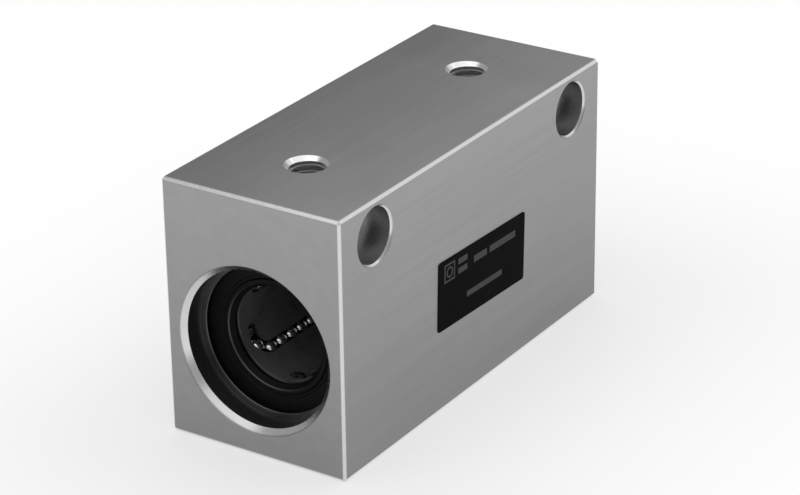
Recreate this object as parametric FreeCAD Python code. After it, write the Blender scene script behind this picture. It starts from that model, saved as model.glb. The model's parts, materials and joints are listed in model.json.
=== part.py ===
import FreeCAD, Part
import math
import os

# Linear bearing block: a rectangular aluminium housing that carries a long
# recirculating-ball bush for a 20 mm shaft. All sizes are in millimetres.
#
# Frame: the origin is the centre of the shaft bore at half the block's length.
# +Y runs along the shaft, +Z points to the tapped top face and +X points to
# the face with the label and the counterbored screw holes.

Vector = FreeCAD.Vector

# ---------------------------------------------------------------------------
# Driving dimensions
# ---------------------------------------------------------------------------

# Housing block
block_width = 40.0
block_height = 53.0
block_length = 94.0
bore_axis_height = 22.0
bore_mouth_chamfer = 1.2
block_edge_chamfer = 0.7

# Counterbored holes for M6 cap screws, through the block from the +X face
side_hole_from_end = 11.5
side_hole_below_top = 7.1
side_hole_radius = 3.2
counterbore_radius = 5.5
counterbore_depth = 6.8
counterbore_mouth_chamfer = 0.5
side_hole_exit_chamfer = 0.4

# Tapped M8 holes in the top face
top_hole_from_end = 18.75
tap_drill_radius = 3.4
tap_drill_point_angle = 118.0
wall_under_tap_drill = 1.45
tap_mouth_radius = 4.3
tap_mouth_depth = 0.85

# Label stuck to the +X face
label_length = 31.8
label_height = 14.4
label_thickness = 0.15
label_corner_radius = 0.6
label_centre_y = 1.3
label_centre_z = 1.9
label_tilt = -2.0

# Ball bush, sunk into the bore from both end faces
shaft_radius = 10.0
ball_radius = 1.5875
bush_recess = 7.0
sleeve_wall = 1.048
sleeve_end_chamfer = 0.35

# Ball circuits
circuits_per_retainer = 5
first_circuit_angle = -134.6
turn_balls = 3
ball_gap = 0.228
raceway_overrun = 0.3
raceway_ramp_angle = 30.0
hook_half_width = 1.25
hook_sweep = 110.0

# Ball retainers
retainer_end_wall = 1.6
retainer_edge_chamfer = 0.3

# Seals and side rings at the ends of the bush
end_pocket_wall = 0.74
seal_recess = 0.1
seal_thickness = 2.0
seal_mouth_gap = 1.0
seal_mouth_bevel = 0.12
seal_groove_depth = 0.3
seal_groove_width = 1.0
seal_groove_from_mouth = 0.6
seal_lip_depth = 1.1
seal_lip_width = 0.5
side_ring_thickness = 0.5

# Snap rings that hold the bush in the block
snap_ring_thickness = 1.2
snap_ring_step = 1.0
snap_ring_grip = 0.8
snap_ring_edge_chamfer = 0.15
snap_ring_gap = 6.0
snap_ring_gap_angle = 50.0

# ---------------------------------------------------------------------------
# Clearances
# ---------------------------------------------------------------------------

bush_fit = 0.01            # sleeve in the block's bore, on the radius
ball_play = 0.01           # loaded balls round the shaft, on the radius
press_seat = 0.02          # seals and side rings in the sleeve, on the radius
seal_lip_clearance = 0.05  # seal lip round the shaft, on the radius
retainer_shaft_gap = 0.4   # retainer round the shaft, on the radius
side_ring_shaft_gap = 1.0  # side rings round the shaft, on the radius
axial_play = 0.05          # between pieces that stand face to face
groove_clearance = 0.05    # round a snap ring in its groove
retainer_clearance = 0.1   # retainer in the sleeve
raceway_clearance = 0.05   # loaded balls under the raceway
raceway_side_gap = 0.15    # raceway in the retainer's slot, on each side
track_clearance = 0.06     # balls in the retainer's tracks
return_clearance = 0.06    # returning balls under the sleeve
cutter_overlap = 1.0       # how far a cutter reaches past what it cuts

# ---------------------------------------------------------------------------
# Worked-out sizes
# ---------------------------------------------------------------------------

half_width = block_width / 2
half_length = block_length / 2
top_z = block_height - bore_axis_height
bottom_z = -bore_axis_height
half_bush = half_length - bush_recess

# The balls of a circuit stand one pitch apart along a track of two straight
# rows and two half-circle turns, and a turn is a whole number of pitches.
ball_pitch = 2 * ball_radius + ball_gap
turn_radius = ball_pitch * turn_balls / math.pi
turn_step = 180.0 / turn_balls
track_radius = ball_radius + track_clearance
raceway_half_width = track_radius - raceway_side_gap

# From the shaft outwards
seal_lip_radius = shaft_radius + seal_lip_clearance
seal_mouth_radius = shaft_radius + seal_mouth_gap
retainer_bore_radius = shaft_radius + retainer_shaft_gap
side_ring_bore_radius = shaft_radius + side_ring_shaft_gap
load_row_radius = shaft_radius + ball_play + ball_radius
raceway_radius = load_row_radius + ball_radius + raceway_clearance
return_row_radius = math.hypot(load_row_radius, 2 * turn_radius)
sleeve_bore_radius = return_row_radius + ball_radius + return_clearance
retainer_radius = sleeve_bore_radius - retainer_clearance
sleeve_radius = sleeve_bore_radius + sleeve_wall
end_pocket_radius = sleeve_radius - end_pocket_wall
pressed_radius = end_pocket_radius - press_seat
bore_radius = sleeve_radius + bush_fit
snap_ring_inner_radius = bore_radius - snap_ring_step
snap_ring_outer_radius = bore_radius + snap_ring_grip

seal_outer_face = seal_recess
seal_inner_face = seal_outer_face + seal_thickness
side_ring_outer_face = seal_inner_face + axial_play
end_pocket_depth = side_ring_outer_face + side_ring_thickness
retainer_start = -half_bush + end_pocket_depth + axial_play
retainer_end = -axial_play

# The straight rows fill what the turns leave of the retainer's length.
turn_reach = turn_radius + track_radius
row_start = retainer_start + retainer_end_wall + turn_reach
row_space = retainer_end - retainer_end_wall - turn_reach - row_start
row_pitches = math.floor(row_space / ball_pitch)
row_end = row_start + row_pitches * ball_pitch

# The rear half repeats the front half, shifted by the length of one retainer
# and the play between the two, so that both halves turn their balls the same way.
rear_shift = -(retainer_start + axial_play)

# The tap drill stops short of the bore.
tap_drill_point = tap_drill_radius / math.tan(math.radians(tap_drill_point_angle / 2))
tap_drill_depth = top_z - bore_radius - wall_under_tap_drill - tap_drill_point


# ---------------------------------------------------------------------------
# Helpers
# ---------------------------------------------------------------------------

def around(radius, angle, y):
    """The point at a radius and an angle in degrees round the shaft axis, from +X towards +Z."""
    turn = math.radians(angle)
    return Vector(radius * math.cos(turn), y, radius * math.sin(turn))


def revolved(profile):
    """The solid swept round the shaft axis by a closed outline of (radius, y) points."""
    corners = [Vector(radius, y, 0) for radius, y in profile]
    outline = Part.makePolygon(corners + corners[:1])
    return Part.Face(outline).revolve(Vector(0, 0, 0), Vector(0, 1, 0), 360)


def rod(radius, start, end):
    """A cylinder from one point to another."""
    axis = end - start
    return Part.makeCylinder(radius, axis.Length, start, axis)


def tapered(start_radius, end_radius, start, end):
    """A cone frustum from one point to another."""
    axis = end - start
    return Part.makeCone(start_radius, end_radius, axis.Length, start, axis)


def radial_bar(angle, half_bar, inner_radius, outer_radius, y_start, y_end):
    """A bar along the shaft whose section is centred on one angle and reaches between two radii."""
    bar = Part.makeBox(
        outer_radius - inner_radius,
        y_end - y_start,
        2 * half_bar,
        Vector(inner_radius, y_start, -half_bar),
    )
    bar.rotate(Vector(0, 0, 0), Vector(0, -1, 0), angle)
    return bar


def mirrored(shape):
    """The same piece at the other end of the block."""
    return shape.mirror(Vector(0, 0, 0), Vector(0, 1, 0))


def along(direction, start, distance):
    """The point at a distance from a start along a unit direction."""
    return start + direction * distance


# ---------------------------------------------------------------------------
# Housing block
# ---------------------------------------------------------------------------

def bore_void():
    """The bore with its chamfered mouths and a snap ring groove at each end."""
    mouth_radius = bore_radius + bore_mouth_chamfer
    groove_radius = snap_ring_outer_radius + groove_clearance
    groove_inner = half_bush + axial_play
    groove_outer = groove_inner + snap_ring_thickness + 2 * groove_clearance
    half_profile = [
        (mouth_radius, half_length),
        (bore_radius, half_length - bore_mouth_chamfer),
        (bore_radius, groove_outer),
        (groove_radius, groove_outer),
        (groove_radius, groove_inner),
        (bore_radius, groove_inner),
    ]
    far_half = [(0, half_length)] + half_profile
    near_half = [(radius, -y) for radius, y in reversed(far_half)]
    return revolved(far_half + near_half)


def side_hole_void(y):
    """A counterbored screw hole through the block, cut from the +X face."""
    z = top_z - side_hole_below_top
    mouth = Vector(half_width, y, z)
    shoulder = Vector(half_width - counterbore_depth, y, z)
    far_mouth = Vector(-half_width, y, z)
    into_block = Vector(-1, 0, 0)
    through = rod(side_hole_radius, shoulder, along(into_block, far_mouth, cutter_overlap))
    counterbore = rod(counterbore_radius, along(into_block, mouth, -cutter_overlap), shoulder)
    lead_in = tapered(
        counterbore_radius + counterbore_mouth_chamfer,
        counterbore_radius,
        mouth,
        along(into_block, mouth, counterbore_mouth_chamfer),
    )
    lead_out = tapered(
        side_hole_radius,
        side_hole_radius + side_hole_exit_chamfer,
        along(into_block, far_mouth, -side_hole_exit_chamfer),
        far_mouth,
    )
    return through.fuse([counterbore, lead_in, lead_out])


def top_hole_void(y):
    """A drilled hole for a tap, with a countersunk mouth and a drill point."""
    mouth = Vector(0, y, top_z)
    down = Vector(0, 0, -1)
    floor = along(down, mouth, tap_drill_depth)
    drill = rod(tap_drill_radius, along(down, mouth, -cutter_overlap), floor)
    point = tapered(tap_drill_radius, 0, floor, along(down, floor, tap_drill_point))
    countersink = tapered(
        tap_mouth_radius, tap_drill_radius, mouth, along(down, mouth, tap_mouth_depth)
    )
    return drill.fuse([point, countersink])


def make_housing_block():
    """The aluminium block with its bore and its fixing holes."""
    corner = Vector(-half_width, -half_length, bottom_z)
    block = Part.makeBox(block_width, block_length, block_height, corner)
    block = block.makeChamfer(block_edge_chamfer, block.Edges)
    voids = [bore_void()]
    for end in (-1, 1):
        voids.append(side_hole_void(end * (half_length - side_hole_from_end)))
        voids.append(top_hole_void(end * (half_length - top_hole_from_end)))
    return block.cut(voids)


def make_label_plate():
    """The thin label on the +X face, a little askew, with rounded corners."""
    corner = Vector(half_width, -label_length / 2, -label_height / 2)
    plate = Part.makeBox(label_thickness, label_length, label_height, corner)
    corners = [edge for edge in plate.Edges if abs(edge.Length - label_thickness) < 1e-6]
    plate = plate.makeFillet(label_corner_radius, corners)
    plate.rotate(Vector(half_width, 0, 0), Vector(1, 0, 0), label_tilt)
    plate.translate(Vector(0, label_centre_y, label_centre_z))
    return plate


# ---------------------------------------------------------------------------
# Ball circuits
#
# The plane of a circuit is square to the radius at its load row, so that a
# ball moves away from the shaft as soon as it enters a turn.
# ---------------------------------------------------------------------------

def circuit_angles():
    """The angles of the load rows round the shaft."""
    step = 360.0 / circuits_per_retainer
    return [first_circuit_angle + index * step for index in range(circuits_per_retainer)]


def away_from_shaft(angle):
    """The unit direction of the radius at a load row."""
    return around(1, angle, 0)


def across_circuit(angle):
    """The unit direction from a circuit's load row to its return row."""
    return around(1, angle - 90, 0)


def load_point(angle, y):
    """A point on the centre line of the load row."""
    return around(load_row_radius, angle, y)


def return_point(angle, y):
    """A point on the centre line of the return row."""
    return load_point(angle, y) + across_circuit(angle) * (2 * turn_radius)


def turn_centre(angle, y):
    """The centre of a turn that joins the two rows at one place along the shaft."""
    return load_point(angle, y) + across_circuit(angle) * turn_radius


def turn_point(angle, y, degrees):
    """A point on a turn: 0 degrees is the load row, 90 points to +Y and 180 is the return row."""
    swing = math.radians(degrees)
    sideways = across_circuit(angle) * (-turn_radius * math.cos(swing))
    lengthways = Vector(0, turn_radius * math.sin(swing), 0)
    return turn_centre(angle, y) + sideways + lengthways


def load_row_points(angle, y_shift):
    """The balls that carry the shaft, from the near turn up to one pitch short of the far turn."""
    start = y_shift + row_start
    return [load_point(angle, start + index * ball_pitch) for index in range(row_pitches)]


def return_row_points(angle, y_shift):
    """The balls on their way back, from the far turn down to one pitch short of the near turn."""
    start = y_shift + row_end
    return [return_point(angle, start - index * ball_pitch) for index in range(row_pitches)]


def far_turn_points(angle, y_shift):
    """The balls that leave the load row at its far end."""
    y = y_shift + row_end
    return [turn_point(angle, y, index * turn_step) for index in range(turn_balls)]


def near_turn_points(angle, y_shift):
    """The balls that leave the return row at its near end."""
    y = y_shift + row_start
    return [turn_point(angle, y, 180 + index * turn_step) for index in range(turn_balls)]


def balls_at(points):
    """One ball at each point, as a group of separate solids."""
    return Part.makeCompound([Part.makeSphere(ball_radius, point) for point in points])


# ---------------------------------------------------------------------------
# Bush: sleeve, retainers, seals and rings
# ---------------------------------------------------------------------------

def raceways(y_shift):
    """The hardened lands inside the sleeve, one over each load row, with ramped ends."""
    crest_start = y_shift + row_start - raceway_overrun
    crest_end = y_shift + row_end + raceway_overrun
    root_radius = (sleeve_bore_radius + end_pocket_radius) / 2
    ramp = (root_radius - raceway_radius) / math.tan(math.radians(raceway_ramp_angle))
    hoop = revolved([
        (raceway_radius, crest_start),
        (raceway_radius, crest_end),
        (root_radius, crest_end + ramp),
        (root_radius, crest_start - ramp),
    ])
    bars = [
        radial_bar(
            angle,
            raceway_half_width,
            raceway_radius - cutter_overlap,
            sleeve_radius,
            crest_start - ramp,
            crest_end + ramp,
        )
        for angle in circuit_angles()
    ]
    return [hoop.common(bar) for bar in bars]


def make_bearing_sleeve():
    """The steel sleeve with its raceways and a pocket at each end for the side ring and the seal."""
    pocket_floor = half_bush - end_pocket_depth
    far_half = [
        (sleeve_bore_radius, pocket_floor),
        (end_pocket_radius, pocket_floor),
        (end_pocket_radius, half_bush),
        (sleeve_radius - sleeve_end_chamfer, half_bush),
        (sleeve_radius, half_bush - sleeve_end_chamfer),
    ]
    near_half = [(radius, -y) for radius, y in reversed(far_half)]
    sleeve = revolved(far_half + near_half)
    return sleeve.fuse(raceways(0) + raceways(rear_shift))


def track_profile(angle, centre):
    """The section of a ball track: a half circle under the ball, open away from the shaft."""
    across = across_circuit(angle)
    outward = away_from_shaft(angle)
    depth = end_pocket_radius - shaft_radius
    left = centre - across * track_radius
    right = centre + across * track_radius
    bottom = centre - outward * track_radius
    outline = Part.Wire([
        Part.Arc(left, bottom, right).toShape(),
        Part.makeLine(right, right + outward * depth),
        Part.makeLine(right + outward * depth, left + outward * depth),
        Part.makeLine(left + outward * depth, left),
    ])
    return Part.Face(outline)


def hook_profile(angle, centre):
    """The section of a window's hook: a slot from a ball's centre in to the shaft."""
    across = across_circuit(angle)
    reach = away_from_shaft(angle) * (shaft_radius / 2 - load_row_radius)
    left = centre - across * hook_half_width
    right = centre + across * hook_half_width
    return Part.Face(Part.makePolygon([left, right, right + reach, left + reach, left]))


def hook_voids(angle):
    """The hooks at both ends of a window, which open it along the first part of each turn."""
    outward = away_from_shaft(angle)
    reach = outward * (shaft_radius / 2 - load_row_radius)
    voids = []
    for y, turn_axis, sweep in ((row_start, outward, -hook_sweep), (row_end, outward * -1, hook_sweep)):
        profile = hook_profile(angle, load_point(angle, y))
        tip = turn_point(angle, y, sweep)
        voids.append(profile.revolve(turn_centre(angle, y), turn_axis, hook_sweep))
        voids.append(rod(hook_half_width, tip, tip + reach))
    return voids


def track_voids(angle):
    """The closed loop of track for one circuit of balls, and the slot that passes its raceway."""
    row = Vector(0, row_end - row_start, 0)
    outward = away_from_shaft(angle)
    start_profile = track_profile(angle, load_point(angle, row_start))
    end_profile = track_profile(angle, load_point(angle, row_end))
    return_profile = track_profile(angle, return_point(angle, row_start))
    raceway_slot = radial_bar(
        angle,
        track_radius,
        raceway_radius - retainer_clearance,
        end_pocket_radius,
        retainer_start - cutter_overlap,
        retainer_end + cutter_overlap,
    )
    return [
        start_profile.extrude(row),
        return_profile.extrude(row),
        start_profile.revolve(turn_centre(angle, row_start), outward, 180),
        end_profile.revolve(turn_centre(angle, row_end), outward * -1, 180),
        raceway_slot,
    ]


def make_ball_retainer():
    """The moulded retainer of the near half: a ring with a hook-ended window for each circuit."""
    ring = revolved([
        (retainer_bore_radius, retainer_start + retainer_edge_chamfer),
        (retainer_bore_radius + retainer_edge_chamfer, retainer_start),
        (retainer_radius, retainer_start),
        (retainer_radius, retainer_end),
        (retainer_bore_radius + retainer_edge_chamfer, retainer_end),
        (retainer_bore_radius, retainer_end - retainer_edge_chamfer),
    ])
    voids = []
    for angle in circuit_angles():
        voids.extend(track_voids(angle))
        voids.extend(hook_voids(angle))
    return ring.cut(voids)


def make_seal():
    """The near rubber seal: a ring groove in its face, and a bevelled mouth down to a lip."""
    face = -half_bush + seal_outer_face
    back = -half_bush + seal_inner_face
    groove_inner_radius = seal_mouth_radius + seal_groove_from_mouth
    groove_outer_radius = groove_inner_radius + seal_groove_width
    lip_face = face + seal_lip_depth
    return revolved([
        (pressed_radius, face),
        (groove_outer_radius, face),
        (groove_outer_radius - seal_groove_depth, face + seal_groove_depth),
        (groove_inner_radius + seal_groove_depth, face + seal_groove_depth),
        (groove_inner_radius, face),
        (seal_mouth_radius, face),
        (seal_mouth_radius - seal_mouth_bevel, face + seal_mouth_bevel),
        (seal_lip_radius, lip_face),
        (seal_lip_radius, lip_face + seal_lip_width),
        (seal_mouth_radius, back),
        (pressed_radius, back),
    ])


def make_side_ring():
    """The near steel ring that closes the retainer in, behind the seal."""
    near_face = -half_bush + side_ring_outer_face
    far_face = -half_bush + end_pocket_depth
    return revolved([
        (side_ring_bore_radius, near_face),
        (pressed_radius, near_face),
        (pressed_radius, far_face),
        (side_ring_bore_radius, far_face),
    ])


def make_snap_ring():
    """The near split ring in the block's groove, which stops the bush sliding out."""
    inner_face = -half_bush - axial_play - groove_clearance
    outer_face = inner_face - snap_ring_thickness
    ring = revolved([
        (snap_ring_inner_radius + snap_ring_edge_chamfer, outer_face),
        (snap_ring_outer_radius, outer_face),
        (snap_ring_outer_radius, inner_face),
        (snap_ring_inner_radius + snap_ring_edge_chamfer, inner_face),
        (snap_ring_inner_radius, inner_face - snap_ring_edge_chamfer),
        (snap_ring_inner_radius, outer_face + snap_ring_edge_chamfer),
    ])
    gap = radial_bar(
        snap_ring_gap_angle,
        snap_ring_gap / 2,
        snap_ring_inner_radius - cutter_overlap,
        snap_ring_outer_radius + cutter_overlap,
        outer_face - cutter_overlap,
        inner_face + cutter_overlap,
    )
    return ring.cut(gap)


# ---------------------------------------------------------------------------
# All pieces
# ---------------------------------------------------------------------------

def make_pieces():
    """Every piece of the block by its name."""
    retainer = make_ball_retainer()
    seal = make_seal()
    side_ring = make_side_ring()
    snap_ring = make_snap_ring()
    pieces = {
        "housing_block": make_housing_block(),
        "label_plate": make_label_plate(),
        "bearing_sleeve": make_bearing_sleeve(),
        "ball_retainer_front": retainer,
        "ball_retainer_rear": retainer.translated(Vector(0, rear_shift, 0)),
        "seal_front": seal,
        "seal_rear": mirrored(seal),
        "side_ring_front": side_ring,
        "side_ring_rear": mirrored(side_ring),
        "snap_ring_front": snap_ring,
        "snap_ring_rear": mirrored(snap_ring),
    }
    for half, y_shift in (("front", 0), ("rear", rear_shift)):
        load_points = []
        return_points = []
        for number, angle in enumerate(circuit_angles(), start=1):
            load_points.extend(load_row_points(angle, y_shift))
            return_points.extend(return_row_points(angle, y_shift))
            near_turn = near_turn_points(angle, y_shift)
            far_turn = far_turn_points(angle, y_shift)
            pieces[f"turning_balls_{half}_{number}_near"] = balls_at(near_turn)
            pieces[f"turning_balls_{half}_{number}_far"] = balls_at(far_turn)
        pieces[f"load_balls_{half}"] = balls_at(load_points)
        pieces[f"return_balls_{half}"] = balls_at(return_points)
    return pieces


os.makedirs("parts", exist_ok=True)
for name, shape in make_pieces().items():
    shape.exportStep(f"parts/{name}.step")
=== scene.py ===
"""Looks of a linear bearing block: an aluminium housing round a recirculating-ball bush.

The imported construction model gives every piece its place. This script gives each piece its
finish, cuts the threads of the tapped holes, and sets up a plain studio. Lengths are metres
unless a name or a comment says millimetres.
"""

import json
import logging
import math
from dataclasses import dataclass, field
from enum import Enum
from typing import Iterable, Mapping, Optional, Sequence, Union

import bmesh
import bpy
from mathutils import Matrix, Vector

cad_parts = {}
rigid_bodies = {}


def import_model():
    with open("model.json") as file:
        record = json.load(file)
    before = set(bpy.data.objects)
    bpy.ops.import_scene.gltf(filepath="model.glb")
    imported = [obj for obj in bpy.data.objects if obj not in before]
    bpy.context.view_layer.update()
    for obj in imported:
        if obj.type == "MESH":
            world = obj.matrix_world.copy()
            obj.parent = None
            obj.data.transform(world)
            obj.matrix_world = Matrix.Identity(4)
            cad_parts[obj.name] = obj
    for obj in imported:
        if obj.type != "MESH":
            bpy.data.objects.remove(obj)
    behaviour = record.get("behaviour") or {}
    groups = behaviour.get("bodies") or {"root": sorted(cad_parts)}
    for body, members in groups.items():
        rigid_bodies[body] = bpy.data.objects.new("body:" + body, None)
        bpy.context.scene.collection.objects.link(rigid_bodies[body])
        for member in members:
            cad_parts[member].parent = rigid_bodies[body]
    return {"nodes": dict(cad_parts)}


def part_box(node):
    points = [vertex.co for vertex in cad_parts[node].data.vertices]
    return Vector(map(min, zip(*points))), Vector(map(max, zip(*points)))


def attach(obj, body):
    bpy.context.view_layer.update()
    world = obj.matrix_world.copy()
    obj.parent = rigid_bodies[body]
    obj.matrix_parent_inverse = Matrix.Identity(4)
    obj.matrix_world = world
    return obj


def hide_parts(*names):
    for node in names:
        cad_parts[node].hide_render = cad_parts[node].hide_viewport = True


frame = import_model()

LOG = logging.getLogger("bearing_block")
MM = 0.001
MM_PER_METRE = 1000.0
NOISE_MIDDLE = 0.5
HOUSING = "housing"


# ---------------------------------------------------------------------------
# Shader sheets
# ---------------------------------------------------------------------------

Value = Union["Wire", float, int]
Tint = tuple[float, float, float]


def grey(level: float) -> tuple[float, float, float, float]:
    """A neutral colour of one linear level."""
    return (level, level, level, 1.0)


def colour(tint: Tint) -> tuple[float, float, float, float]:
    """An opaque colour from three linear parts."""
    return (*tint, 1.0)


class Wire:
    """One output of a shader node, whose arithmetic adds Math nodes."""

    def __init__(self, sheet: "Sheet", socket: bpy.types.NodeSocket) -> None:
        """Keeps a node's output and the sheet that new nodes go on."""
        self.sheet = sheet
        self.socket = socket

    def __add__(self, other: Value) -> "Wire":
        """This value plus another."""
        return self.sheet.maths("ADD", self, other)

    def __radd__(self, other: Value) -> "Wire":
        """Another value plus this one."""
        return self.sheet.maths("ADD", other, self)

    def __sub__(self, other: Value) -> "Wire":
        """This value less another."""
        return self.sheet.maths("SUBTRACT", self, other)

    def __rsub__(self, other: Value) -> "Wire":
        """Another value less this one."""
        return self.sheet.maths("SUBTRACT", other, self)

    def __mul__(self, other: Value) -> "Wire":
        """This value times another."""
        return self.sheet.maths("MULTIPLY", self, other)

    def __rmul__(self, other: Value) -> "Wire":
        """Another value times this one."""
        return self.sheet.maths("MULTIPLY", other, self)

    def __pow__(self, other: Value) -> "Wire":
        """This value to a power."""
        return self.sheet.maths("POWER", self, other)

    def __rpow__(self, other: Value) -> "Wire":
        """Another value to the power of this one."""
        return self.sheet.maths("POWER", other, self)

    def __gt__(self, other: Value) -> "Wire":
        """1 where this value is the larger, and 0 elsewhere."""
        return self.sheet.maths("GREATER_THAN", self, other)

    def __lt__(self, other: Value) -> "Wire":
        """1 where this value is the smaller, and 0 elsewhere."""
        return self.sheet.maths("LESS_THAN", self, other)

    def __abs__(self) -> "Wire":
        """The value without its sign."""
        return self.sheet.maths("ABSOLUTE", self)

    def at_least(self, other: Value) -> "Wire":
        """The larger of this value and another."""
        return self.sheet.maths("MAXIMUM", self, other)

    def at_most(self, other: Value) -> "Wire":
        """The smaller of this value and another."""
        return self.sheet.maths("MINIMUM", self, other)

    def swing(self, amount: float) -> "Wire":
        """How far this noise stands from its middle, times an amount."""
        return (self - NOISE_MIDDLE) * amount

    def ease(self, start: float, end: float, low: Value = 0.0, high: Value = 1.0) -> "Wire":
        """A smooth step from low to high as this value goes from start to end.

        Args:
            start: The value at which the step begins.
            end: The value at which the step ends, which may be the smaller one.
            low: The result before the step.
            high: The result after the step.

        Returns:
            The stepped value.
        """
        return self.sheet.node(
            "ShaderNodeMapRange",
            {"interpolation_type": "SMOOTHSTEP"},
            {"Value": self, "From Min": start, "From Max": end, "To Min": low, "To Max": high},
            "Result",
        )


class Sheet:
    """The node tree of one material, filled in by short calls."""

    def __init__(self, tree: bpy.types.NodeTree) -> None:
        """Takes over a node tree and empties it."""
        self.tree = tree
        tree.nodes.clear()

    def node(
        self,
        kind: str,
        settings: Optional[Mapping[str, object]] = None,
        sockets: Optional[Mapping[str, object]] = None,
        output: Optional[str] = None,
    ) -> Wire:
        """Adds one node.

        Args:
            kind: The node's type, such as ShaderNodeTexNoise.
            settings: What the node's own properties are set to, before its sockets.
            sockets: A number, a tuple or a wire for each input by name.
            output: The name of the output to return, or None for the first.

        Returns:
            The wire from that output.
        """
        made = self.tree.nodes.new(kind)
        for name, setting in (settings or {}).items():
            setattr(made, name, setting)
        for name, value in (sockets or {}).items():
            self._feed(self._socket(made.inputs, name), value)
        outputs = made.outputs
        return Wire(self, self._socket(outputs, output or 0)) if outputs else Wire(self, None)

    def maths(self, operation: str, *values: Value) -> Wire:
        """The result of one Math node on numbers or wires."""
        return self.node("ShaderNodeMath", {"operation": operation}, dict(enumerate(values)))

    def blend(self, factor: Value, first: object, second: object) -> Wire:
        """Mixes two colours.

        Args:
            factor: 0 for the first colour and 1 for the second.
            first: A colour or the wire of one.
            second: A colour or the wire of one.

        Returns:
            The mixed colour.
        """
        return self.node(
            "ShaderNodeMix",
            {"data_type": "RGBA"},
            {"Factor": factor, "A": first, "B": second},
            "Result",
        )

    def tinted(self, tint: Tint, level: Value) -> Wire:
        """A colour brightened or darkened by a level."""
        return self.node(
            "ShaderNodeVectorMath", {"operation": "SCALE"}, {0: tint, "Scale": level}, "Vector"
        )

    def scaled(self, vector: Wire, factors: Sequence[float]) -> Wire:
        """A vector with each part times its own factor."""
        return self.node(
            "ShaderNodeVectorMath",
            {"operation": "MULTIPLY"},
            {0: vector, 1: tuple(factors)},
            "Vector",
        )

    def parts(self, vector: Wire) -> tuple[Wire, Wire, Wire]:
        """A vector's X, Y and Z."""
        split = self.node("ShaderNodeSeparateXYZ", {}, {0: vector})
        return tuple(Wire(self, socket) for socket in split.socket.node.outputs)

    def millimetres(self, place: Wire) -> tuple[Wire, Wire, Wire]:
        """A place's X, Y and Z in millimetres."""
        return tuple(part * MM_PER_METRE for part in self.parts(place))

    def place(self) -> Wire:
        """The point on the surface in the part's own frame, in metres."""
        return self.node("ShaderNodeTexCoord", output="Object")

    def facing(self) -> Wire:
        """The surface's direction in the part's own frame."""
        return self.node("ShaderNodeTexCoord", output="Normal")

    def noise(self, vector: Wire, scale: float, detail: float, rough: float) -> Wire:
        """Noise round its middle, with so many features per unit of the vector."""
        sockets = {"Vector": vector, "Scale": scale, "Detail": detail, "Roughness": rough}
        return self.node("ShaderNodeTexNoise", {"noise_dimensions": "3D"}, sockets, "Fac")

    def relief(self, height: Wire, depth: float, strength: float) -> Wire:
        """A normal bumped by a height, whose 1 stands so many metres deep."""
        sockets = {"Height": height, "Distance": depth, "Strength": strength}
        return self.node("ShaderNodeBump", {}, sockets, "Normal")

    def surface(self, sockets: Mapping[str, object]) -> None:
        """Ends the sheet in a Principled shader with these inputs."""
        self.output(self.node("ShaderNodeBsdfPrincipled", {}, sockets))

    def output(self, shader: Wire) -> None:
        """Ends the sheet in a shader."""
        self.node("ShaderNodeOutputMaterial", {"target": "ALL"}, {"Surface": shader})

    @staticmethod
    def _socket(sockets: Iterable[bpy.types.NodeSocket], name: Union[str, int]) -> bpy.types.NodeSocket:
        """Finds a socket.

        Args:
            sockets: A node's inputs or outputs.
            name: The socket's name, or its index among them.

        Returns:
            The socket in use that has the name or the index.
        """
        if isinstance(name, int):
            return list(sockets)[name]
        return next(socket for socket in sockets if socket.name == name and socket.enabled)

    def _feed(self, socket: bpy.types.NodeSocket, value: object) -> None:
        """Links a wire to a socket, or sets the socket's own value.

        Args:
            socket: The input to feed.
            value: A wire, or what the input is set to.
        """
        if isinstance(value, Wire):
            self.tree.links.new(value.socket, socket)
        else:
            socket.default_value = value


def distance(first: Wire, second: Wire) -> Wire:
    """The length of two offsets that are square to each other."""
    return (first * first + second * second) ** 0.5


@dataclass(frozen=True)
class Grain:
    """One kind of noise: its features per metre, its finer layers and their strength."""

    density: Union[float, tuple[float, float, float]]
    layers: float = 3.0
    rough: float = 0.5

    def read(self, sheet: Sheet, place: Wire) -> Wire:
        """Reads the noise, which is stretched where the density differs by direction.

        Args:
            sheet: The sheet that the noise goes on.
            place: The point on the surface.

        Returns:
            The noise.
        """
        if isinstance(self.density, tuple):
            return sheet.noise(sheet.scaled(place, self.density), 1.0, self.layers, self.rough)
        return sheet.noise(place, self.density, self.layers, self.rough)


# ---------------------------------------------------------------------------
# Finishes
# ---------------------------------------------------------------------------


@dataclass(frozen=True)
class Finish:
    """A named finish that can make its material once."""

    name: str
    slot: str

    def material(self) -> bpy.types.Material:
        """Makes the finish's material the first time it is asked for.

        Returns:
            The material.
        """
        found = bpy.data.materials.get(self.name)
        if found is None:
            found = bpy.data.materials.new(self.name)
            found.use_nodes = True
            self.paint(Sheet(found.node_tree))
        return found

    def paint(self, sheet: Sheet) -> None:
        """Fills in the finish's sheet."""
        raise NotImplementedError

    def dress(self, piece: bpy.types.Object) -> None:
        """Gives a piece this finish.

        Args:
            piece: A mesh object.
        """
        if not piece.material_slots:
            piece.data.materials.append(None)
        for holder in piece.material_slots:
            holder.link = "OBJECT"
            holder.material = self.material()


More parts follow.
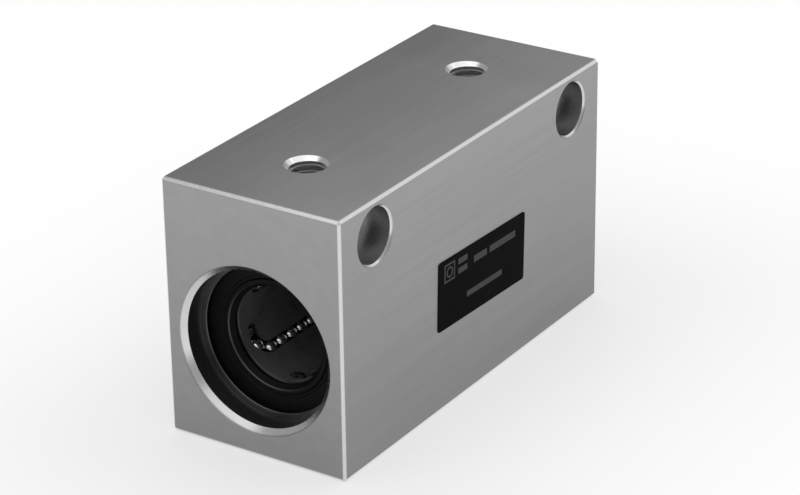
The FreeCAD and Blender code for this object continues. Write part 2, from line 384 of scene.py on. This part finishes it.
@dataclass(frozen=True)
class BlockShape:
    """The housing block's sizes in millimetres, for the parts of its finish and its threads."""

    half_width: float
    half_length: float
    top: float
    bottom: float
    bore_radius: float = 16.0
    bore_mouth_radius: float = 17.2
    edge_chamfer: float = 0.7
    side_hole_y: float = 35.5
    side_hole_z: float = 23.9
    screw_radius: float = 3.2
    counterbore_radius: float = 5.5
    counterbore_depth: float = 6.8
    hole_chamfer: float = 0.5
    top_hole_y: float = 28.25
    countersink_radius: float = 4.3
    countersink_depth: float = 0.85

    @property
    def middle(self) -> float:
        """The height halfway between the top and the bottom."""
        return (self.top + self.bottom) / 2

    @classmethod
    def from_frame(cls) -> "BlockShape":
        """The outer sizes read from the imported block."""
        low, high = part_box("housing_block")
        return cls(high.x / MM, high.y / MM, high.z / MM, low.z / MM)


@dataclass(frozen=True)
class MilledAluminium(Finish):
    """Dull aluminium with fine cutter lines, bright cut edges and honed bores. Its faces carry painted
    shade, darker towards the bottom of the sides and shaded across the top, and its edges carry painted
    highlights.

    The margins and reaches are in millimetres, and keep each mask clear of its neighbour's faces.
    """

    shape: BlockShape = field(default_factory=BlockShape.from_frame)
    face: Tint = (0.33, 0.331, 0.334)
    edge: Tint = (0.71, 0.71, 0.72)
    bore: Tint = (0.32, 0.32, 0.325)
    hole: Tint = (0.58, 0.58, 0.585)
    thread: Tint = (0.62, 0.62, 0.625)
    face_roughness: float = 0.44
    edge_roughness: float = 0.24
    bore_roughness: float = 0.34
    hole_roughness: float = 0.34
    side_grain: Grain = Grain((9000.0, 35.0, 9000.0), 4.0, 0.62)
    end_grain: Grain = Grain((60.0, 9000.0, 7000.0), 4.0, 0.62)
    broad_grain: Grain = Grain((420.0, 14.0, 420.0), 2.0)
    streak_grain: Grain = Grain((1900.0, 24.0, 1900.0), 2.0)
    cloud_grain: Grain = Grain(55.0)
    wear_grain: Grain = Grain(900.0, 3.0, 0.7)
    line_contrast: float = 0.22
    broad_contrast: float = 0.12
    streak_contrast: float = 0.14
    cloud_contrast: float = 0.16
    edge_contrast: float = 0.12
    wall_contrast: float = 0.2
    line_dulling: float = 0.12
    cloud_dulling: float = 0.10
    wear_dulling: float = 0.16
    line_depth: float = 0.9e-5
    relief_strength: float = 0.6
    # Painted shade: how much lighter per millimetre up the sides and ends the colour is painted.
    painted_side_shade: float = 0.0045
    # Painted shade on the top face: lighter per millimetre towards the +X side, and darker overall by the
    # level below.
    painted_top_slope: float = 0.010
    painted_top_shade: float = -0.07
    squarely: float = 0.9
    mouth_margin: float = 0.01
    mouth_reach: float = 1.5
    wall_margin: float = 0.03
    lip_fade: float = 0.35
    step_margin: float = 0.1
    hole_margin: float = 0.02
    face_margin: float = 0.05
    roof_margin: float = 1.0
    lip_fade_share: float = 0.4
    # Painted highlight: the shares of a slope's width where the bright edge colour begins and ends its
    # fade.
    highlight_fade: tuple[float, float] = (0.95, 0.45)

    def paint(self, sheet: Sheet) -> None:
        """Fills in the finish's sheet.

        Args:
            sheet: The empty sheet.
        """
        place = sheet.place()
        x, y, z = sheet.millimetres(place)
        _, facing_y, facing_z = sheet.parts(sheet.facing())
        on_end = abs(facing_y) > self.squarely
        on_top = abs(facing_z) > self.squarely

        in_mouth, bore_wall, lip = self._bore(x, y, z)
        side_wall, side_lip = self._side_holes(x, y, z)
        in_top_hole, thread_wall = self._top_holes(x, y, z)
        in_bores = in_mouth.at_least(side_wall).at_least(side_lip).at_least(in_top_hole)
        broken_edge_highlight = self._broken_edge_highlight(x, y, z) * (1.0 - in_bores)
        # Bright cut metal of the slopes, lips and countersinks, narrowed by painted highlights that fade
        # out towards their borders.
        cut_edge_and_highlight = (broken_edge_highlight + lip + side_lip + in_top_hole - thread_wall).at_most(1.0)

        side_lines = self.side_grain.read(sheet, place)
        end_lines = self.end_grain.read(sheet, place)
        lines = side_lines + on_end * (end_lines - side_lines)
        broad = self.broad_grain.read(sheet, place)
        streaks = self.streak_grain.read(sheet, place)
        cloud = self.cloud_grain.read(sheet, place)
        wear = self.wear_grain.read(sheet, place)

        # Painted shade: the top face is painted darker overall and lighter towards the +X side.
        painted_top_slope = on_top * (x * self.painted_top_slope + self.painted_top_shade)
        # Painted shade: the sides and ends are painted lighter towards the top and darker towards the
        # bottom.
        painted_side_shade = (1.0 - on_top) * (z - self.shape.middle) * self.painted_side_shade
        shade = 1.0 + painted_top_slope + painted_side_shade + lines.swing(self.line_contrast)
        shade = shade + broad.swing(self.broad_contrast) + cloud.swing(self.cloud_contrast)
        shade = shade + (1.0 - on_end) * streaks.swing(self.streak_contrast)
        lined_wall = 1.0 + lines.swing(self.wall_contrast)
        worn_wall = 1.0 + wear.swing(self.wall_contrast)
        worn_edge = 1.0 + wear.swing(self.edge_contrast)
        base = sheet.tinted(self.face, shade)
        base = sheet.blend(cut_edge_and_highlight, base, sheet.tinted(self.edge, worn_edge))
        base = sheet.blend(side_wall, base, sheet.tinted(self.hole, lined_wall))
        base = sheet.blend(thread_wall, base, sheet.tinted(self.thread, worn_wall))
        base = sheet.blend(bore_wall, base, sheet.tinted(self.bore, lined_wall))

        roughness = self.face_roughness + lines.swing(self.line_dulling) + cloud.swing(self.cloud_dulling)
        edge_roughness = self.edge_roughness + wear.swing(self.wear_dulling)
        roughness = roughness + cut_edge_and_highlight * (edge_roughness - roughness)
        roughness = roughness + (side_wall + thread_wall) * (self.hole_roughness - roughness)
        roughness = roughness + bore_wall * (self.bore_roughness - roughness)

        sheet.surface(
            {
                "Base Color": base,
                "Metallic": 1.0,
                "Roughness": roughness,
                "Normal": sheet.relief(lines, self.line_depth, self.relief_strength),
            }
        )

    def _bore(self, x: Wire, y: Wire, z: Wire) -> tuple[Wire, Wire, Wire]:
        """Masks the shaft bore.

        Args:
            x: The place across the block, in millimetres.
            y: The place along the block, in millimetres.
            z: The place up the block, in millimetres.

        Returns:
            The bore with its mouths, the bore's wall alone, and the bright lip of a mouth.
        """
        shape = self.shape
        reach = distance(x, z)
        in_mouth = reach < shape.bore_mouth_radius - self.mouth_margin
        near_end = abs(y) > shape.half_length - self.mouth_reach
        past_wall = (reach > shape.bore_radius + self.wall_margin) * near_end
        wall = in_mouth * (1.0 - past_wall)
        lip = past_wall * reach.ease(shape.bore_mouth_radius, shape.bore_mouth_radius - self.lip_fade)
        return in_mouth, wall, lip

    def _side_holes(self, x: Wire, y: Wire, z: Wire) -> tuple[Wire, Wire]:
        """Masks the screw holes and their counterbores.

        Args:
            x: The place across the block, in millimetres.
            y: The place along the block, in millimetres.
            z: The place up the block, in millimetres.

        Returns:
            The holes' walls, and their bright lips on the faces.
        """
        shape = self.shape
        wide_part = x > shape.half_width - shape.counterbore_depth - self.step_margin
        radius = shape.screw_radius + wide_part * (shape.counterbore_radius - shape.screw_radius)
        past_hole = distance(abs(y) - shape.side_hole_y, z - shape.side_hole_z) - radius
        wall = past_hole < self.hole_margin
        near_face = abs(x) > shape.half_width - shape.hole_chamfer - self.face_margin
        faded = past_hole.ease(shape.hole_chamfer, shape.hole_chamfer * self.lip_fade_share)
        return wall, faded * (1.0 - wall) * near_face

    def _top_holes(self, x: Wire, y: Wire, z: Wire) -> tuple[Wire, Wire]:
        """Masks the tapped holes.

        Args:
            x: The place across the block, in millimetres.
            y: The place along the block, in millimetres.
            z: The place up the block, in millimetres.

        Returns:
            The holes with their countersinks, and their threaded walls alone.
        """
        shape = self.shape
        reach = distance(x, abs(y) - shape.top_hole_y)
        above_bore = z > shape.bore_radius + self.roof_margin
        in_hole = (reach < shape.countersink_radius - self.hole_margin) * above_bore
        return in_hole, in_hole * (z < shape.top - shape.countersink_depth + self.face_margin)

    def _broken_edge_highlight(self, x: Wire, y: Wire, z: Wire) -> Wire:
        """A painted highlight: the bright cut metal of the narrow slopes along the block's outer edges is
        kept to their middle, fading out towards their borders as the highlight of a rounded edge would.

        Args:
            x: The place across the block, in millimetres.
            y: The place along the block, in millimetres.
            z: The place up the block, in millimetres.

        Returns:
            1 along the middle of each slope, fading to 0 at its borders and on the faces.
        """
        shape = self.shape
        from_side = shape.half_width - abs(x)
        from_end = shape.half_length - abs(y)
        from_level = shape.top - shape.middle - abs(z - shape.middle)
        nearest = from_side.at_most(from_end).at_most(from_level)
        farthest = from_side.at_least(from_end).at_least(from_level)
        second = from_side + from_end + from_level - nearest - farthest
        fade_start, fade_end = (shape.edge_chamfer * share for share in self.highlight_fade)
        return (second - nearest).ease(fade_start, fade_end)


class Lay(Enum):
    """Which way the tool's lines run on steel."""

    ROUND_THE_SHAFT = "rings left by turning and round grinding"
    ACROSS_THE_FACE = "straight lines left by flat grinding"


@dataclass(frozen=True)
class DarkSteel(Finish):
    """Steel with fine tool lines and a film of oil."""

    tint: Tint = (0.30, 0.30, 0.31)
    roughness: float = 0.25
    lay: Lay = Lay.ROUND_THE_SHAFT
    lines_per_metre: float = 26000.0
    stretch: float = 3.0
    long_stretch: float = 100.0
    line_grain: Grain = Grain(1.0, 3.0, 0.6)
    film_grain: Grain = Grain(260.0)
    line_contrast: float = 0.4
    film_contrast: float = 0.5
    film_dulling: float = 0.25
    line_depth: float = 4e-6
    relief_strength: float = 0.5

    def paint(self, sheet: Sheet) -> None:
        """Fills in the finish's sheet.

        Args:
            sheet: The empty sheet.
        """
        place = sheet.place()
        lines = self.line_grain.read(sheet, self._spread(sheet, place))
        film = self.film_grain.read(sheet, place)
        level = 1.0 + lines.swing(self.line_contrast) + film.swing(self.film_contrast)
        sheet.surface(
            {
                "Base Color": sheet.tinted(self.tint, level),
                "Metallic": 1.0,
                "Roughness": self.roughness + film.swing(self.film_dulling),
                "Normal": sheet.relief(lines, self.line_depth, self.relief_strength),
            }
        )

    def _spread(self, sheet: Sheet, place: Wire) -> Wire:
        """Stretches the place so that noise read there runs in lines.

        Args:
            sheet: The finish's sheet.
            place: The point on the surface.

        Returns:
            The vector to read the noise at.
        """
        dense = self.lines_per_metre
        if self.lay is Lay.ACROSS_THE_FACE:
            return sheet.scaled(place, (dense, dense / self.stretch, dense / self.long_stretch))
        x, y, z = sheet.parts(place)
        sockets = {"X": distance(x, z) * dense, "Y": y * (dense / self.stretch), "Z": 0.0}
        return sheet.node("ShaderNodeCombineXYZ", {}, sockets)


@dataclass(frozen=True)
class BlackMoulding(Finish):
    """Black resin or rubber with a moulded grain, painted shade on the surfaces that face along the
    shaft, and a painted highlight rim round a seal's mouth where it has one.

    The rim's radius and half width are in millimetres, and a radius of 0 is no rim.
    """

    tint: Tint = (0.115, 0.115, 0.117)
    # Painted shade: how dark surfaces facing along the shaft are painted, against 1 for the walls round
    # the shaft.
    painted_end_shade: float = 0.10
    roughness: float = 0.30
    gloss_level: float = 0.5
    moulded_grain: Grain = Grain(9000.0, 2.0, 0.6)
    film_grain: Grain = Grain(190.0)
    grain_contrast: float = 0.4
    film_contrast: float = 0.8
    film_dulling: float = 0.3
    grain_depth: float = 6e-6
    relief_strength: float = 0.5
    painted_end_shade_turn: tuple[float, float] = (0.2, 0.5)
    # Painted highlight: the radius, half width, slopes and colour of a metallic band round a seal's
    # mouth.
    highlight_rim_radius: float = 0.0
    highlight_rim_half_width: float = 0.2
    highlight_rim_slope: tuple[float, float] = (0.3, 0.95)
    highlight_rim_tint: Tint = (0.08, 0.08, 0.08)

    def paint(self, sheet: Sheet) -> None:
        """Fills in the finish's sheet.

        Args:
            sheet: The empty sheet.
        """
        place = sheet.place()
        grain = self.moulded_grain.read(sheet, place)
        film = self.film_grain.read(sheet, place)
        _, facing_y, _ = sheet.parts(sheet.facing())
        across = abs(facing_y)
        # Painted shade: surfaces facing along the shaft, such as a retainer's ends and edges, are painted
        # darker than the walls round the shaft.
        end = across.ease(*self.painted_end_shade_turn, 1.0, self.painted_end_shade)
        level = end * (1.0 + film.swing(self.film_contrast) + grain.swing(self.grain_contrast))
        # Painted highlight: a metallic band on the sloping rubber round a seal's mouth.
        rim = self._highlight_rim(sheet, place, across)
        sheet.surface(
            {
                "Base Color": sheet.blend(rim, sheet.tinted(self.tint, level), colour(self.highlight_rim_tint)),
                "Metallic": rim,
                "Roughness": self.roughness + film.swing(self.film_dulling),
                "Specular IOR Level": self.gloss_level,
                "Normal": sheet.relief(grain, self.grain_depth, self.relief_strength),
            }
        )

    def _highlight_rim(self, sheet: Sheet, place: Wire, across: Wire) -> Wire:
        """A painted highlight: a thin metallic band painted onto the sloping rubber round a seal's mouth,
        which puts a bright line there.

        Args:
            sheet: The finish's sheet.
            place: The point on the surface.
            across: How squarely the surface faces along the shaft.

        Returns:
            1 on the sloping rim, and 0 elsewhere.
        """
        x, _, z = sheet.parts(place)
        least, most = self.highlight_rim_slope
        sloping = (across > least) * (across < most)
        return sloping * (abs(distance(x, z) - self.highlight_rim_radius * MM) < self.highlight_rim_half_width * MM)


@dataclass(frozen=True)
class PolishedBalls(Finish):
    """Lapped bearing steel with faint lapping marks and grease."""

    tint: Tint = (0.78, 0.78, 0.79)
    grease_tint: Tint = (0.55, 0.54, 0.50)
    lap_grain: Grain = Grain(5200.0, 3.0, 0.6)
    grease_grain: Grain = Grain(700.0, 2.0)
    grease_colour_range: tuple[float, float] = (0.45, 0.75)
    grease_dulling_range: tuple[float, float] = (0.4, 0.8)
    roughness: float = 0.06
    grease_dulling: float = 0.12
    lap_depth: float = 1.0e-6
    relief_strength: float = 0.3

    def paint(self, sheet: Sheet) -> None:
        """Fills in the finish's sheet.

        Args:
            sheet: The empty sheet.
        """
        place = sheet.place()
        lap = self.lap_grain.read(sheet, place)
        grease = self.grease_grain.read(sheet, place)
        greased = grease.ease(*self.grease_colour_range)
        dulled = grease.ease(*self.grease_dulling_range)
        sheet.surface(
            {
                "Base Color": sheet.blend(greased, colour(self.tint), colour(self.grease_tint)),
                "Metallic": 1.0,
                "Roughness": self.roughness + dulled * self.grease_dulling,
                "Normal": sheet.relief(lap, self.lap_depth, self.relief_strength),
            }
        )


@dataclass(frozen=True)
class PrintedFoil(Finish):
    """Black label foil with a plain grey print: a bearing's section and rows of bars.

    Places and sizes on the label are in millimetres, and a bar is its left, right, low and high side.
    """

    centre_y: float = 1.3
    centre_z: float = 1.9
    tilt_degrees: float = -2.0
    ground: Tint = (0.0028, 0.0028, 0.0029)
    ink: Tint = (0.095, 0.095, 0.096)
    bars: tuple[tuple[float, float, float, float], ...] = (
        (-8.9, -5.6, 4.7, 5.9),
        (-8.9, -5.6, 2.7, 3.9),
        (-3.2, 1.6, 3.1, 4.5),
        (2.6, 12.3, 3.1, 4.5),
        (-5.6, 7.4, -3.3, -2.1),
    )
    section_u: float = -12.0
    section_v: float = 4.3
    section_half: float = 1.9
    section_bore: float = 0.95
    line_width: float = 0.40
    film_grain: Grain = Grain(240.0)
    ink_grain: Grain = Grain(5200.0)
    ink_wear_range: tuple[float, float] = (0.20, 0.60)
    worn_ink: float = 0.75
    film_contrast: float = 0.8
    roughness: float = 0.40
    film_dulling: float = 0.3
    ink_dulling: float = 0.15
    gloss_level: float = 0.012
    grain_depth: float = 4e-6
    relief_strength: float = 0.4

    def paint(self, sheet: Sheet) -> None:
        """Fills in the finish's sheet.

        Args:
            sheet: The empty sheet.
        """
        place = sheet.place()
        _, y, z = sheet.millimetres(place)
        sine = math.sin(math.radians(self.tilt_degrees))
        cosine = math.cos(math.radians(self.tilt_degrees))
        from_y = y - self.centre_y
        from_z = z - self.centre_z
        u = from_y * cosine + from_z * sine
        v = from_z * cosine - from_y * sine

        printed = self._section(u, v)
        for left, right, low, high in self.bars:
            wide = abs(u - (left + right) / 2) < (right - left) / 2
            tall = abs(v - (low + high) / 2) < (high - low) / 2
            printed = printed + wide * tall
        film = self.film_grain.read(sheet, place)
        grain = self.ink_grain.read(sheet, place)
        coverage = printed.at_most(1.0) * grain.ease(*self.ink_wear_range, self.worn_ink, 1.0)
        ground = sheet.tinted(self.ground, 1.0 + film.swing(self.film_contrast))
        sheet.surface(
            {
                "Base Color": sheet.blend(coverage, ground, colour(self.ink)),
                "Roughness": self.roughness + film.swing(self.film_dulling) + coverage * self.ink_dulling,
                "Specular IOR Level": self.gloss_level,
                "Normal": sheet.relief(grain, self.grain_depth, self.relief_strength),
            }
        )

    def _section(self, u: Wire, v: Wire) -> Wire:
        """The outline of a square block round a ring, as 1 where the ink is.

        Args:
            u: The distance along the label from its centre, in millimetres.
            v: The distance up the label from its centre, in millimetres.

        Returns:
            The mask of the section mark.
        """
        du = u - self.section_u
        dv = v - self.section_v
        square = abs(du).at_least(abs(dv))
        frame_line = (square < self.section_half) * (square > self.section_half - self.line_width)
        ring_line = abs(distance(du, dv) - self.section_bore) < self.line_width / 2
        return frame_line + ring_line


@dataclass(frozen=True)
class PaleFloor(Finish):
    """The plain pale floor of the studio, painted white by white emission that camera and glossy rays
    see, with less of it near the part, so that the floor stays darker there and keeps the part's shadow.
    """

    albedo: float = 0.88
    roughness: float = 0.9
    gloss_level: float = 0.1
    lift_near: float = 0.58
    lift_far: float = 0.97
    fade_width: float = 0.09

    def paint(self, sheet: Sheet) -> None:
        """Fills in the finish's sheet.

        Args:
            sheet: The empty sheet.
        """
        _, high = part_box("housing_block")
        x, y, _ = sheet.parts(sheet.place())
        beside = (abs(x) - high.x).at_least(0.0)
        beyond = (abs(y) - high.y).at_least(0.0)
        # Painted shade round the part: less white emission is mixed in near the part, so the floor there
        # reads darker than far away.
        lift = distance(beside, beyond).ease(0.0, self.fade_width, self.lift_near, self.lift_far)
        seen = ("Is Camera Ray", "Is Glossy Ray", "Is Transmission Ray")
        rays = [sheet.node("ShaderNodeLightPath", output=name) for name in seen]
        in_view = rays[0].at_least(rays[1]).at_least(rays[2])
        paper = sheet.node(
            "ShaderNodeBsdfPrincipled",
            {},
            {
                "Base Color": grey(self.albedo),
                "Roughness": self.roughness,
                "Specular IOR Level": self.gloss_level,
            },
        )
        white = sheet.node("ShaderNodeEmission", {}, {"Color": grey(1.0), "Strength": 1.0})
        sheet.output(sheet.node("ShaderNodeMixShader", {}, {0: in_view * lift, 1: paper, 2: white}))


# ---------------------------------------------------------------------------
# Mesh work
# ---------------------------------------------------------------------------


def make_outward(mesh: bpy.types.Mesh) -> None:
    """Turns a closed mesh's faces outwards.

    Args:
        mesh: The mesh, which is changed in place.
    """
    shell = bmesh.new()
    shell.from_mesh(mesh)
    bmesh.ops.recalc_face_normals(shell, faces=shell.faces)
    shell.to_mesh(mesh)
    shell.free()


def cut_away(block: bpy.types.Object, cutter: bpy.types.Object) -> None:
    """Cuts one solid out of another and removes the cutter.

    Args:
        block: The piece that loses material, whose mesh is replaced.
        cutter: A closed solid that isn't in the scene yet.
    """
    scene_objects = bpy.context.scene.collection.objects
    scene_objects.link(cutter)
    step = block.modifiers.new("cut", "BOOLEAN")
    step.operation = "DIFFERENCE"
    step.solver = "EXACT"
    step.object = cutter
    bpy.context.view_layer.update()
    worked = block.evaluated_get(bpy.context.evaluated_depsgraph_get())
    mesh = bpy.data.meshes.new_from_object(worked)
    block.modifiers.clear()
    block.data = mesh
    bpy.data.objects.remove(cutter)


# ---------------------------------------------------------------------------
# Sub-assemblies
# ---------------------------------------------------------------------------


@dataclass
class TappedThread:
    """A coarse metric thread that is cut into a drilled hole from the top face."""

    centre_y: float
    top: float
    depth: float
    pitch: float = 1.25
    major_radius: float = 4.0
    inner_radius: float = 3.2
    root_half_width: float = 0.07
    flank_degrees: float = 30.0
    steps_per_turn: int = 48
    lead_in: float = 0.45

    def cutter(self) -> bpy.types.Object:
        """Makes the coiled cutter of the thread.

        Returns:
            A closed coil with a V section, in metres.
        """
        height = self.depth + self.lead_in
        steps = round(height / self.pitch * self.steps_per_turn)
        rise = (self.major_radius - self.inner_radius) * math.tan(math.radians(self.flank_degrees))
        section = (
            (self.inner_radius, self.root_half_width + rise),
            (self.major_radius, self.root_half_width),
            (self.major_radius, -self.root_half_width),
            (self.inner_radius, -self.root_half_width - rise),
        )
        corners = []
        for step in range(steps + 1):
            turn = 2 * math.pi * step / self.steps_per_turn
            level = self.top + self.lead_in - height * step / steps
            for radius, offset in section:
                point = (radius * math.cos(turn), self.centre_y + radius * math.sin(turn), level + offset)
                corners.append([part * MM for part in point])
        count = len(section)
        faces = [tuple(range(count - 1, -1, -1)), tuple(range(steps * count, (steps + 1) * count))]
        for step in range(steps):
            for side in range(count):
                here = step * count + side
                beside = step * count + (side + 1) % count
                faces.append((here, beside, beside + count, here + count))
        mesh = bpy.data.meshes.new("thread_cutter")
        mesh.from_pydata(corners, [], faces)
        make_outward(mesh)
        return bpy.data.objects.new("thread_cutter", mesh)


@dataclass
class Housing:
    """The aluminium block with its threads, and its label."""

    aluminium: MilledAluminium
    foil: PrintedFoil
    thread_depth: float = 9.6
    crease_degrees: float = 28.0

    def build(self) -> list[bpy.types.Object]:
        """Cuts the threads and dresses the block and the label.

        Returns:
            The threaded block and the label.
        """
        block = self._threaded_block()
        label = frame["nodes"]["label_plate"]
        self.aluminium.dress(block)
        self.foil.dress(label)
        return [block, label]

    def _threaded_block(self) -> bpy.types.Object:
        """Copies the block, cuts both threads and puts the copy in the block's place.

        Returns:
            The copy.
        """
        shape = self.aluminium.shape
        plain = frame["nodes"]["housing_block"]
        block = bpy.data.objects.new("threaded_block", plain.data.copy())
        stored_normals = block.data.attributes.get("custom_normal")
        if stored_normals is not None:
            block.data.attributes.remove(stored_normals)
        bpy.context.scene.collection.objects.link(block)
        for side in (-1.0, 1.0):
            thread = TappedThread(side * shape.top_hole_y, shape.top, self.thread_depth)
            cut_away(block, thread.cutter())
        block.data.shade_smooth()
        block.data.set_sharp_from_angle(angle=math.radians(self.crease_degrees))
        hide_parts("housing_block")
        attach(block, HOUSING)
        return block


@dataclass
class Bush:
    """The ball bush: sleeve, retainers, seals and rings."""

    steel: DarkSteel
    ring_steel: DarkSteel
    resin: BlackMoulding
    rubber: BlackMoulding

    def build(self) -> list[bpy.types.Object]:
        """Dresses the bush's own pieces.

        Returns:
            The pieces.
        """
        finishes = {
            "bearing_sleeve": self.steel,
            "ball_retainer": self.resin,
            "seal": self.rubber,
            "side_ring": self.ring_steel,
            "snap_ring": self.ring_steel,
        }
        dressed = []
        for name, piece in frame["nodes"].items():
            finish = next((f for start, f in finishes.items() if name.startswith(start)), None)
            if finish is not None:
                finish.dress(piece)
                dressed.append(piece)
        return dressed


@dataclass
class BallCircuits:
    """The balls of every circuit."""

    steel: PolishedBalls

    def build(self) -> list[bpy.types.Object]:
        """Dresses the balls.

        Returns:
            The groups of balls.
        """
        balls = [piece for name, piece in frame["nodes"].items() if "_balls_" in name]
        for piece in balls:
            self.steel.dress(piece)
        return balls


# ---------------------------------------------------------------------------
# Studio
# ---------------------------------------------------------------------------


@dataclass(frozen=True)
class Softbox:
    """One rectangular lamp that points at the part."""

    name: str
    place: tuple[float, float, float]
    width: float
    height: float
    watts: float

    def build(self) -> None:
        """Makes the lamp."""
        lamp = bpy.data.lights.new(self.name, "AREA")
        lamp.shape = "RECTANGLE"
        lamp.size = self.width
        lamp.size_y = self.height
        lamp.energy = self.watts
        holder = bpy.data.objects.new(self.name, lamp)
        holder.location = self.place
        holder.rotation_mode = "QUATERNION"
        holder.rotation_quaternion = (-Vector(self.place)).to_track_quat("-Z", "Y")
        bpy.context.scene.collection.objects.link(holder)


@dataclass
class Studio:
    """The floor, the lamps, the world and the camera."""

    floor_finish: PaleFloor
    world_level: float = 0.40
    floor_half_size: float = 60.0
    floor_gap: float = 0.02 * MM
    azimuth: float = 33.27
    elevation: float = 24.892
    roll: float = -0.831
    camera_place: tuple[float, float, float] = (0.288522, -0.436726, 0.245566)
    focal_length: float = 131.715
    sensor_width: float = 36.0
    clip_start: float = 0.01
    lamps: tuple[Softbox, ...] = (
        Softbox("overhead_softbox", (0.0, 0.16, 1.50), 2.30, 2.30, 14.5),
        Softbox("front_softbox", (0.08, -0.82, 0.99), 1.60, 0.90, 2.3),
        Softbox("back_right_softbox", (0.53, 0.97, 0.64), 0.80, 0.80, 1.05),
    )

    def build(self) -> None:
        """Makes everything in the studio."""
        self._make_floor()
        self._make_world()
        for lamp in self.lamps:
            lamp.build()
        self._make_camera()
        bpy.context.scene.view_settings.view_transform = "Standard"

    def _make_floor(self) -> None:
        """Lays the floor under the block's lower face."""
        low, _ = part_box("housing_block")
        half = self.floor_half_size
        level = low.z - self.floor_gap
        outline = ((-half, -half), (half, -half), (half, half), (-half, half))
        corners = [(x, y, level) for x, y in outline]
        mesh = bpy.data.meshes.new("floor")
        mesh.from_pydata(corners, [], [(0, 1, 2, 3)])
        floor = bpy.data.objects.new("floor", mesh)
        bpy.context.scene.collection.objects.link(floor)
        mesh.materials.append(self.floor_finish.material())

    def _make_world(self) -> None:
        """Surrounds the part with a plain grey."""
        world = bpy.data.worlds.new("studio_world")
        world.use_nodes = True
        sheet = Sheet(world.node_tree)
        shade = sheet.node("ShaderNodeBackground", {}, {"Color": grey(self.world_level), "Strength": 1.0})
        sheet.node("ShaderNodeOutputWorld", {"target": "ALL"}, {"Surface": shade})
        bpy.context.scene.world = world

    def _make_camera(self) -> None:
        """Sets up the camera from its place and its three angles."""
        azimuth = math.radians(self.azimuth)
        elevation = math.radians(self.elevation)
        flat = math.cos(elevation)
        back = Vector((math.sin(azimuth) * flat, -math.cos(azimuth) * flat, math.sin(elevation)))
        right = Vector((math.cos(azimuth), math.sin(azimuth), 0.0))
        up = back.cross(right)
        level = Matrix((right, up, back)).transposed()
        lens = bpy.data.cameras.new("camera")
        lens.sensor_width = self.sensor_width
        lens.lens = self.focal_length
        lens.clip_start = self.clip_start
        camera = bpy.data.objects.new("camera", lens)
        turned = level @ Matrix.Rotation(math.radians(self.roll), 3, "Z")
        camera.matrix_world = Matrix.Translation(self.camera_place) @ turned.to_4x4()
        bpy.context.scene.collection.objects.link(camera)
        bpy.context.scene.camera = camera


# ---------------------------------------------------------------------------
# Main
# ---------------------------------------------------------------------------


def main() -> None:
    """Builds every sub-assembly in order and reports its pieces."""
    logging.basicConfig(level=logging.INFO, format="%(message)s")
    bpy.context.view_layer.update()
    assemblies = (
        Housing(
            MilledAluminium("milled_aluminium", "block_aluminium"),
            PrintedFoil("printed_foil", "label_foil"),
        ),
        Bush(
            DarkSteel("ground_steel", "sleeve_steel"),
            DarkSteel(
                "blackened_steel",
                "ring_steel",
                tint=(0.09, 0.09, 0.09),
                roughness=0.32,
                lay=Lay.ACROSS_THE_FACE,
            ),
            BlackMoulding("moulded_resin", "retainer_resin"),
            BlackMoulding(
                "moulded_rubber",
                "seal_rubber",
                tint=(0.0065, 0.0065, 0.0067),
                painted_end_shade=1.0,
                roughness=0.42,
                gloss_level=0.06,
                highlight_rim_radius=11.0,
            ),
        ),
        BallCircuits(PolishedBalls("polished_balls", "ball_steel")),
    )
    for assembly in assemblies:
        for piece in assembly.build():
            LOG.info("%s: %s", type(assembly).__name__, piece.name)
    Studio(PaleFloor("pale_floor", "")).build()


if __name__ == "__main__":
    main()
